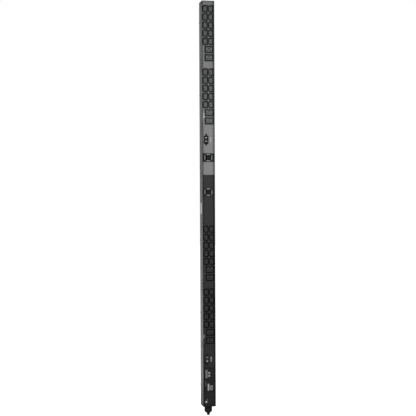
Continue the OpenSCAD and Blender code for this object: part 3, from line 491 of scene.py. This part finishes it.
def second_tone(made, axis, limit, colour):
    """Gives a finish another colour where a coordinate is above a limit, and its own colour below it."""
    tree = made.node_tree
    own = node_of(made, "ShaderNodeMix").inputs["A"]
    above = math_node(tree, "GREATER_THAN", axes_of(made)[axis], limit)
    pick = tree.nodes.new("ShaderNodeMix")
    pick.data_type = "RGBA"
    pick.inputs["A"].default_value = own.default_value
    pick.inputs["B"].default_value = (*colour, 1)
    if own.is_linked:
        wire(tree, own.links[0].from_socket, pick.inputs["A"])
    wire(tree, above, pick.inputs["Factor"])
    wire(tree, pick.outputs["Result"], own)


SECOND_TONES = (
    ("label_grey", Z, highest("lower_meter_plate", Z), (0.205, 0.21, 0.209)),
    ("label_grey", X, highest("bank_label_plates", X) - LABEL_EDGE, grey(0.012)),
    # The darker tones deeper than a socket's face are painted shade in its groove.
    ("socket_dark_grey", Y, lowest("bank_1_contact_carriers", Y) + GROOVE_EDGE, cool(0.026)),
    ("frame_grey_painted_shade", Y, lowest("bank_1_socket_frames", Y) + GROOVE_EDGE, cool(0.019)),
    ("socket_black", Y, lowest("bank_3_contact_carriers", Y) + GROOVE_EDGE, grey(0.009)),
    ("frame_black_painted_shade", Y, lowest("bank_3_socket_frames", Y) + GROOVE_EDGE, grey(0.006)),
    ("jack_shell", Y, lowest("network_jack", Y) + GROOVE_EDGE, grey(0.75)),
    ("control_charcoal", Z, lowest("control_panel", Z), grey(0.025)),
    ("blank_plate", X, PLATE_TONE_STEP, grey(0.13)),
)
for name, axis, limit, colour in SECOND_TONES:
    second_tone(FINISHES[name], axis, limit, colour)
print("second tones:", len(SECOND_TONES))

# %% [markdown]
# ## Dressing the CAD nodes
# Each finish has a list of the nodes that wear it. It is finer than the record's slots: the side walls are a
# shade lighter than the rest of the housing as a painted sheen, the socket frames are darker than the
# carriers as painted shade in the grooves, the bank plates have their own shades, and the case screws are
# blackened while the ground screw is bright.

# %% Dress the nodes
UPPER, LOWER = ("bank_1", "bank_2"), ("bank_3", "bank_4")
HALVES = ("upper", "lower")
DRESS = {
    "chassis_black": ["rear_channel", "top_end_cap", "bottom_end_cap"],
    "wall_black_painted_sheen": ["side_walls"],
    "plate_light_grey": ["top_filler_plate", "upper_filler_plate", "upper_meter_plate"],
    "plate_charcoal": ["lower_meter_plate", "lower_filler_plate"],
    "control_charcoal": ["control_plate"],
    "panel_black": ["control_panel"],
    "label_grey": ["bank_label_plates"],
    "plated_steel": ["mounting_pegs", "peg_nuts", "gland_locknut"],
    "bright_screw": ["ground_screw"],
    "jack_shell": ["network_jack"],
    "black_screw": ["case_screws", "breaker_screws"],
    "socket_dark_grey": [f"{bank}_contact_carriers" for bank in UPPER],
    "frame_grey_painted_shade": [f"{bank}_socket_frames" for bank in UPPER],
    "bank_plate_grey": [f"{bank}_plate" for bank in UPPER],
    "socket_black": [f"{bank}_contact_carriers" for bank in LOWER],
    "frame_black_painted_shade": [f"{bank}_socket_frames" for bank in LOWER],
    "bank_plate_black": [f"{bank}_plate" for bank in LOWER],
    "copper_strip": [f"{half}_{pole}_busbar" for half in HALVES for pole in ("line", "neutral", "earth")],
    "rocker_plastic": [f"{half}_breaker_rocker" for half in HALVES],
    "ring_grey": [f"{half}_meter_ring" for half in HALVES],
    "smoked_window": [f"{half}_meter_window" for half in HALVES],
    "circuit_board": ["upper_meter_board", "lower_meter_board", "network_board", "power_supply_board"],
    "display_glass": ["display_window"],
    "button_grey": [f"{half}_scroll_button" for half in HALVES],
    "black_rubber": ["gland_seal", "feed_leads"],
    "black_plastic": ["upper_breaker_body", "lower_breaker_body", "upper_meter_case", "lower_meter_case",
                      "current_transformers", "terminal_block", "gland_body", "gland_nut"],
}
dressed = set()
for finish_name, members in DRESS.items():
    for member in members:
        nodes[member].data.materials.clear()
        nodes[member].data.materials.append(FINISHES[finish_name])
        dressed.add(member)
print("dressed:", len(dressed), "left:", sorted(set(nodes) - dressed))

# %% [markdown]
# ## Studio
# The picture has a plain white background. The floor is a pale sheet that glows, fully for the camera and
# otherwise more towards the back, so that it is as white as the background.

# %% Floor
FLOOR_REACH, FLOOR_DROP = 14.0, 0.5 * MM
GLOW_DEPTH, GLOW_BACK = 0.8, 0.7
floor_mesh = bpy.data.meshes.new("floor")
floor_points = np.full((4, 3), cad_box[0][Z] - FLOOR_DROP)
floor_points[:, :2] = np.array([[-1, -1], [1, -1], [1, 1], [-1, 1]]) * FLOOR_REACH
floor_mesh.from_pydata(floor_points.tolist(), [], [(0, 1, 2, 3)])
floor = bpy.data.objects.new("floor", floor_mesh)
bpy.context.scene.collection.objects.link(floor)
floor_paper = bpy.data.materials.new("floor_paper")
floor_paper.use_nodes = True
sheet = floor_paper.node_tree
paper = sheet.nodes["Principled BSDF"]
paper.inputs["Base Color"].default_value = (0.5, 0.5, 0.5, 1)
paper.inputs["Roughness"].default_value = 0.9
paper.inputs["Emission Color"].default_value = (1, 1, 1, 1)
seen = sheet.nodes.new("ShaderNodeLightPath")
spot = sheet.nodes.new("ShaderNodeTexCoord")
depth_parts = sheet.nodes.new("ShaderNodeSeparateXYZ")
sweep = sheet.nodes.new("ShaderNodeMapRange")
for label, value in (("From Min", 0.0), ("From Max", GLOW_DEPTH), ("To Min", 0.0), ("To Max", GLOW_BACK)):
    sweep.inputs[label].default_value = value
wire(sheet, spot.outputs["Object"], depth_parts.inputs[0])
wire(sheet, depth_parts.outputs["Y"], sweep.inputs["Value"])
glow = math_node(sheet, "MAXIMUM", seen.outputs["Is Camera Ray"], sweep.outputs["Result"])
wire(sheet, glow, paper.inputs["Emission Strength"])
floor_mesh.materials.append(floor_paper)
print("floor at", floor_points[0, Z])

# %% [markdown]
# ## World
# The world is white to the camera while it lights the strip with a softer sky: brighter behind, where a
# studio's backdrop is, than in front. One even sky would be simpler, but it would make the dark faces pale.

# %% World
SKY_FRONT, SKY_BACK, SKY_TURN = 0.12, 0.64, 0.6
world = bpy.data.worlds.new("studio")
bpy.context.scene.world = world
world.use_nodes = True
sky = world.node_tree
background = sky.nodes["Background"]
background.inputs["Color"].default_value = (1, 1, 1, 1)
ray = sky.nodes.new("ShaderNodeLightPath")
direction = sky.nodes.new("ShaderNodeTexCoord")
parts = sky.nodes.new("ShaderNodeSeparateXYZ")
ramp = sky.nodes.new("ShaderNodeMapRange")
for label, value in (("From Min", -SKY_TURN), ("From Max", SKY_TURN), ("To Min", SKY_FRONT),
                     ("To Max", SKY_BACK)):
    ramp.inputs[label].default_value = value
choose = sky.nodes.new("ShaderNodeMix")
choose.inputs["B"].default_value = 1.0
wire(sky, direction.outputs["Generated"], parts.inputs[0])
wire(sky, parts.outputs["Y"], ramp.inputs["Value"])
wire(sky, ramp.outputs["Result"], choose.inputs["A"])
wire(sky, ray.outputs["Is Camera Ray"], choose.inputs["Factor"])
wire(sky, choose.outputs["Result"], background.inputs["Strength"])
bpy.context.scene.view_settings.view_transform = "Standard"
print("sky:", SKY_FRONT, "in front,", SKY_BACK, "behind")


# %% [markdown]
# ## Softboxes
# Two softboxes stand in front of the strip, one on each side. The left one is the stronger, so that the side
# that shows is well lit, and both are large, so that shadows in the grooves stay soft.

# %% Softboxes
def softbox(name, location, target, width, height, watts):
    """A large rectangular light that faces its target."""
    data = bpy.data.lights.new(name, "AREA")
    data.shape = "RECTANGLE"
    data.size, data.size_y, data.energy = width, height, watts
    lamp = bpy.data.objects.new(name, data)
    lamp.location = location
    lamp.visible_camera = False
    lamp.rotation_euler = (Vector(target) - Vector(location)).to_track_quat("-Z", "Y").to_euler()
    bpy.context.scene.collection.objects.link(lamp)
    print("light:", name, watts, "W")


BOX_OUT, BOX_NEAR, BOX_UP = 1.1, -1.4, 0.28
BOX_W, BOX_H, BOX_TARGET = 0.6, 0.8, (0, 0, 0.1)
for name, side, watts in (("key_softbox", -1, 18), ("fill_softbox", 1, 15)):
    softbox(name, (side * BOX_OUT, BOX_NEAR, BOX_UP), BOX_TARGET, BOX_W, BOX_H, watts)

# %% [markdown]
# ## Printed marks and plates
# Marks on the real strip are screen print: a film of ink a few hundredths of a millimetre thick. They could
# be painted by the material, but here they are thin rounded plates, so that they are real surfaces in the
# meshes. Letters come from Blender's own font, made into a mesh.

# %% Lettering
INK = 0.05 * MM


def lettering(name, text, x, z, size, front, turned, finish_name, bold=0.0):
    """Letters as a flat mesh on the front, centred at x and z; turned letters read from the bottom up."""
    curve = bpy.data.curves.new(name, "FONT")
    curve.body, curve.size, curve.extrude, curve.offset = text, size, INK / 2, bold
    curve.align_x, curve.align_y = "CENTER", "CENTER"
    maker = bpy.data.objects.new(name + "_curve", curve)
    bpy.context.scene.collection.objects.link(maker)
    bpy.context.view_layer.update()
    mesh = bpy.data.meshes.new_from_object(maker.evaluated_get(bpy.context.evaluated_depsgraph_get()))
    bpy.data.objects.remove(maker)
    mesh.name = name
    turn = Matrix.Rotation(math.pi / 2, 4, "X") @ Matrix.Rotation(math.pi / 2 if turned else 0.0, 4, "Z")
    mesh.transform(Matrix.Translation((x, front - INK / 2, z)) @ turn)
    mesh.materials.clear()
    place(name, mesh, "housing", FINISHES[finish_name])


# %% [markdown]
# ## Bank numbers and breaker words
# Each bank has its number on the label strip beside the large sockets. The second number stands on a pale
# tag, and the fourth bank has a blank tag beside its number. A breaker has ON and OFF on the plate.

# %% Bank numbers
NUMBER_SIZE = 8 * MM
TAG_THICK, TAG_CORNER = 0.2 * MM, 0.8 * MM
TAGS = {2: ("number_tag", "blank_label", -19.6 * MM, 6.4 * MM, 22 * MM),
        4: ("blank_tag", "pale_print", -23.2 * MM, 4.4 * MM, 17 * MM)}
NUMBERS = ((1, -19.9, 35.5), (2, -19.6, 40.5), (3, -19.9, 35.5), (4, -18.2, 35.5))
for bank, across, up in NUMBERS:
    number_z = lowest(f"bank_{bank}_plate", Z) + up * MM
    number_front = STRIP_FRONT
    if bank in TAGS:
        kind, tag_finish, tag_x, tag_w, tag_h = TAGS[bank]
        tag = front_plate(tag_x, number_z, tag_w, tag_h, STRIP_FRONT, TAG_THICK, TAG_CORNER)
        piece(f"bank_{bank}_{kind}", [tag], "housing", FINISHES[tag_finish])
        if kind == "number_tag":
            number_front -= TAG_THICK
    lettering(f"bank_number_{bank}", str(bank), across * MM, number_z, NUMBER_SIZE, number_front, False,
              "grey_print")

# %% Breaker words
WORD_SIZE, WORD_OUT, WORD_BOLD = 5.5 * MM, 5.6 * MM, 0.2 * MM
for half, word_x in (("upper", 11.6 * MM), ("lower", 9.6 * MM)):
    breaker_z = middle(f"{half}_breaker_body", Z)
    for word, side in (("ON", 1), ("OFF", -1)):
        lettering(f"{half}_breaker_{word.lower()}", word, word_x, breaker_z + side * WORD_OUT, WORD_SIZE,
                  PLATE_FRONT, True, "white_print", WORD_BOLD)

# %% [markdown]
# ## Blank plates and the earth sign
# The panel carries a plate for a name and a grey bar, and the left side a label. All three are blank, with
# rounded corners. The earth sign beside the ground screw is a stem over three bars that grow shorter.

# %% Blank plates
PANEL_PLATES = (("panel_blank_plate", "label_grey", "blank_plate", (-2.7, -804.2, 8.6, 30.5), 0.3, 0.8),
                ("panel_grey_bar", "ring_grey", "grey_print", (-16, -788.5, 4, 23), 0.2, 0.6))
for name, slot, finish_name, sizes, thick, corner in PANEL_PLATES:
    x, z, width, height = (size * MM for size in sizes)
    plate = front_plate(x, z, width, height, PANEL_FRONT, thick * MM, corner * MM)
    piece(name, [plate], "housing", FINISHES[finish_name])
LABEL_W, LABEL_H, LABEL_THICK, LABEL_CORNER = 30 * MM, 48 * MM, 0.15 * MM, 2 * MM
LABEL_Y, LABEL_Z = -33 * MM, -18.5 * MM
wall_x = lowest("side_walls", X)
flat = front_plate(0, 0, LABEL_W, LABEL_H, 0, LABEL_THICK, LABEL_CORNER)
on_side = np.stack([wall_x + flat[..., Y], LABEL_Y + flat[..., X], LABEL_Z + flat[..., Z]], -1)
piece("side_blank_label", [on_side], "housing", FINISHES["blank_label"])

# %% Earth sign
EARTH_X, EARTH_Z, EARTH_CORNER = -8.2 * MM, -860.4 * MM, 0.3 * MM
EARTH_LINES = ((0.4, 6.4, 0.7), (-1.2, 4.2, 0.7), (-2.8, 2.0, 0.7), (2.6, 0.7, 3.8))
lines = [front_plate(EARTH_X, EARTH_Z + up * MM, width * MM, height * MM, PLATE_FRONT, INK, EARTH_CORNER)
         for up, width, height in EARTH_LINES]
piece("earth_sign", lines, "housing", FINISHES["pale_print"])

# %% [markdown]
# ## Rocker marks
# The two halves of a rocker carry a bar for on and a ring for off, filled with pale paint. The rocker is a
# shallow V that turns about a pin, so the marks are drawn on the flat of each half and then turned with it.

# %% Rocker marks
PIVOT_X, PIVOT_Y, TILT = -9 * MM, -51.8 * MM, math.radians(-12)
VALLEY, CREST, REACH = 3.2 * MM, 6.6 * MM, 15.4 * MM
SLOPE = (CREST - VALLEY) / REACH
MARK_OUT, MARK_THICK = 8.6 * MM, 0.12 * MM
BAR_W, BAR_H, BAR_CORNER = 10.2 * MM, 1.7 * MM, 0.4 * MM
RING_R, RING_W = 2.8 * MM, 1.3 * MM


def on_rocker(rings, pivot_z, side):
    """Carries a drawing in X and Z, with its depth as Y, onto one half of a rocker: the depth follows the
    half's slope, then all of it turns by the rest tilt about the pin."""
    x, y, z = (rings[..., axis] for axis in range(3))
    z = z + side * MARK_OUT
    y = y - VALLEY - SLOPE * np.abs(z)
    c, s = math.cos(TILT), math.sin(TILT)
    return np.stack([PIVOT_X + x, PIVOT_Y + c * y - s * z, pivot_z + s * y + c * z], -1)


def ring_mark(radius, width, thick, count=40):
    """A flat ring as one tube whose section is a rectangle: the section goes round a circle and joins."""
    angle = np.linspace(0, 2 * math.pi, count, endpoint=False)[:, None]
    section = np.array([[radius - width / 2, 0], [radius + width / 2, 0],
                        [radius + width / 2, -thick], [radius - width / 2, -thick]])
    return np.stack([section[:, 0] * np.cos(angle), np.broadcast_to(section[:, 1], (count, 4)),
                     section[:, 0] * np.sin(angle)], -1)


def closed_tube(name, rings, body, material):
    """A mesh whose last ring joins its first, so it needs no caps."""
    k, n, _ = rings.shape
    i, j = np.meshgrid(np.arange(k), np.arange(n), indexing="ij")
    a, b = i * n + j, i * n + (j + 1) % n
    c, d = ((i + 1) % k) * n + (j + 1) % n, ((i + 1) % k) * n + j
    mesh = bpy.data.meshes.new(name)
    mesh.from_pydata(rings.reshape(-1, 3).tolist(), [], np.stack([a, b, c, d], -1).reshape(-1, 4).tolist())
    place(name, mesh, body, material)


for half in HALVES:
    breaker_z = middle(f"{half}_breaker_body", Z)
    bar = on_rocker(front_plate(0, 0, BAR_W, BAR_H, 0, MARK_THICK, BAR_CORNER), breaker_z, 1)
    ring = on_rocker(ring_mark(RING_R, RING_W, MARK_THICK), breaker_z, -1)
    piece(f"{half}_rocker_on_mark", [bar], f"{half}_rocker", FINISHES["white_print"])
    closed_tube(f"{half}_rocker_off_mark", ring, f"{half}_rocker", FINISHES["white_print"])

# %% [markdown]
# ## Meter digits
# Each load meter has two seven-segment digits. A segment is a hexagon bar with pointed ends, and the digit
# puts seven of them round two squares. They are unlit, so they are only a little paler than the window, and
# they lie on its face as a film, because a film behind smoked glass would be lost.

# %% Meter digits
SEGMENTS = ((0, 2, 0), (-1, 1, 1), (1, 1, 1), (0, 0, 0), (-1, -1, 1), (1, -1, 1), (0, -2, 0))
DIGITS_X, DIGIT_HALF, SEGMENT_STEP = (-2.4 * MM, 6.2 * MM), 2.6 * MM, 3.2 * MM
SEGMENT_L, SEGMENT_W, LEAN = 5.0 * MM, 1.4 * MM, 0.1


def segment(x, z, length, width, upright, back, thick):
    """A bar with pointed ends as a stack of two hexagon rings."""
    half, w = length / 2, width / 2
    outline = np.array([[-half, 0], [w - half, w], [half - w, w], [half, 0], [half - w, -w], [w - half, -w]])
    outline = outline[:, ::-1] if upright else outline
    depth = back - thick * np.array([0.0, 1.0])
    px, pz = x + outline[:, 0], z + outline[:, 1]
    return np.stack([np.broadcast_to(px, (2, 6)), np.broadcast_to(depth[:, None], (2, 6)),
                     np.broadcast_to(pz, (2, 6))], -1)


def lean(rings, centre):
    """Slants a digit: X grows with the height above the digit's middle."""
    rings = rings.copy()
    rings[..., X] += LEAN * (rings[..., Z] - centre)
    return rings


for half in HALVES:
    centre, face = middle(f"{half}_meter_window", Z), lowest(f"{half}_meter_window", Y)
    digits = [segment(digit_x + sx * DIGIT_HALF, centre + sz * SEGMENT_STEP, SEGMENT_L, SEGMENT_W, upright,
                      face, INK)
              for digit_x in DIGITS_X for sx, sz, upright in SEGMENTS]
    piece(f"{half}_meter_digits", [lean(rings, centre) for rings in digits], "housing",
          FINISHES["segment_grey"])

# %% [markdown]
# ## Meter bezel bars
# The raised ring of a meter carries four pale bars round its window, with the corners left dark. They are
# rounded plates on the ring's face, two upright and two lying.

# %% Meter bezel bars
UPRIGHTS_X, UPRIGHT_W, UPRIGHT_H = (-16.7 * MM, 14.7 * MM), 2.7 * MM, 18 * MM
LYING_X, LYING_OUT, LYING_W, LYING_H = -0.7 * MM, 13.6 * MM, 15 * MM, 4.0 * MM
BEZEL_THICK, BEZEL_CORNER = 0.3 * MM, 0.6 * MM
for half in HALVES:
    centre, face = middle(f"{half}_meter_ring", Z), lowest(f"{half}_meter_ring", Y)
    bars = [front_plate(x, centre, UPRIGHT_W, UPRIGHT_H, face, BEZEL_THICK, BEZEL_CORNER) for x in UPRIGHTS_X]
    bars += [front_plate(LYING_X, centre + out, LYING_W, LYING_H, face, BEZEL_THICK, BEZEL_CORNER)
             for out in (-LYING_OUT, LYING_OUT)]
    piece(f"{half}_meter_bars", bars, "housing", FINISHES["bezel_bar"])

# %% [markdown]
# ## Status lights and jack contacts
# A row of small domed lights tells the network state. Each is a ring stack whose radius follows a quarter
# circle. Inside the network jack eight gold wires start high at the back of the port and curl down as they
# come forward.

# %% Status lights
LAMP_COUNT, LAMP_X, LAMP_TOP, LAMP_STEP = 5, 12.5 * MM, -733 * MM, 9 * MM
LAMP_R, LAMP_RISE, LAMP_END = 1.3 * MM, 0.8, 0.96
TICK_OUT, TICK_W, TICK_H, TICK_CORNER = 4.4 * MM, 3.6 * MM, 0.9 * MM, 0.2 * MM


def dome(x, z, radius, front, count=20, levels=6):
    """A dome on the front: radius r cos t and height r sin t, lowered a little, for t from 0 to just under a
    right angle."""
    t = np.linspace(0, math.pi / 2 * LAMP_END, levels)[:, None]
    angle = np.linspace(0, 2 * math.pi, count, endpoint=False)[None, :]
    r, h = radius * np.cos(t), LAMP_RISE * radius * np.sin(t)
    return np.stack([x + r * np.cos(angle), front - h + 0 * angle, z + r * np.sin(angle)], -1)


lamps_z = [LAMP_TOP - step * LAMP_STEP for step in range(LAMP_COUNT)]
lamps = [dome(LAMP_X, z, LAMP_R, PANEL_FRONT) for z in lamps_z]
ticks = [front_plate(LAMP_X + TICK_OUT, z, TICK_W, TICK_H, PANEL_FRONT, INK, TICK_CORNER) for z in lamps_z]
piece("status_lights", lamps, "housing", FINISHES["lamp_lens"])
piece("status_marks", ticks, "housing", FINISHES["grey_print"])

# %% Jack contacts
WIRE_COUNT, WIRE_PITCH, WIRE_R = 8, 1.02 * MM, 0.22 * MM
WIRE_BACK, WIRE_RUN, WIRE_TOP, WIRE_DROP = 9.0 * MM, 6.5 * MM, 3.6 * MM, 3.4 * MM
jack_x, jack_z = middle("network_jack", X), middle("network_jack", Z)
jack_front = lowest("network_jack", Y)


def contact_wire(x, sides=6, stations=8):
    """A round wire swept along a slope that curls down at its tip: z falls as the square of the way along."""
    along = np.linspace(0, 1, stations)[:, None]
    angle = np.linspace(0, 2 * math.pi, sides, endpoint=False)[None, :]
    y = jack_front + WIRE_BACK - WIRE_RUN * along
    z = jack_z + WIRE_TOP - WIRE_DROP * along ** 2
    return np.stack([x + WIRE_R * np.cos(angle) + 0 * along, y + 0 * angle, z + WIRE_R * np.sin(angle)], -1)


wires_x = jack_x + (np.arange(WIRE_COUNT) - (WIRE_COUNT - 1) / 2) * WIRE_PITCH
contacts = [contact_wire(x) for x in wires_x]
piece("jack_contacts", contacts, "housing", FINISHES["gold_contact"])
